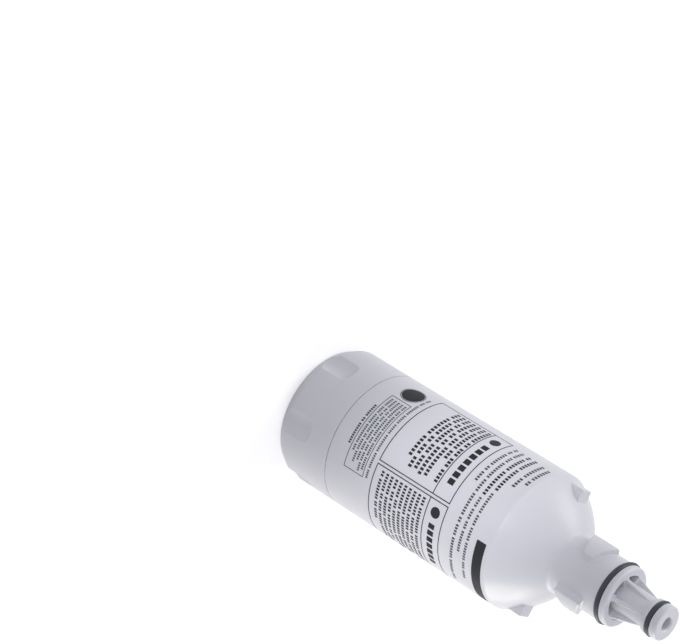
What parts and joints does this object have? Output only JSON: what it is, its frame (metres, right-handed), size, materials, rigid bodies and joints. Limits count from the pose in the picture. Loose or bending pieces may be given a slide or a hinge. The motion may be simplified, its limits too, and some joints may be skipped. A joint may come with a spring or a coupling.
{
  "type": "fridge water filter cartridge",
  "caption": "White cylindrical filter cartridge with a grip end cap, domed shoulder, bayonet neck and sealed nozzle, for a fridge's drinking water.",
  "frame": {"origin": "centre of the end cap's base, on the cartridge's axis", "axes": "+Z along the axis from the base to the outlet, +X along one of the six ribs of the nose"},
  "size_m": [0.062, 0.062, 0.191],
  "materials": {
    "white_shell": "satin moulded",
    "seal_rubber": "greased",
    "insert_plastic": "moulded",
    "carbon": "sintered, porous",
    "fleece": "needled fleece"
  },
  "bodies": {
    "root": {"housing": "white_shell", "end_cap": "white_shell", "neck_o_ring": "seal_rubber", "tip_o_ring": "seal_rubber", "carbon_block": "carbon", "prefilter_wrap": "fleece", "outlet_end_cap": "insert_plastic", "closed_end_cap": "insert_plastic", "spigot_o_ring": "seal_rubber"}
  },
  "joints": []
}
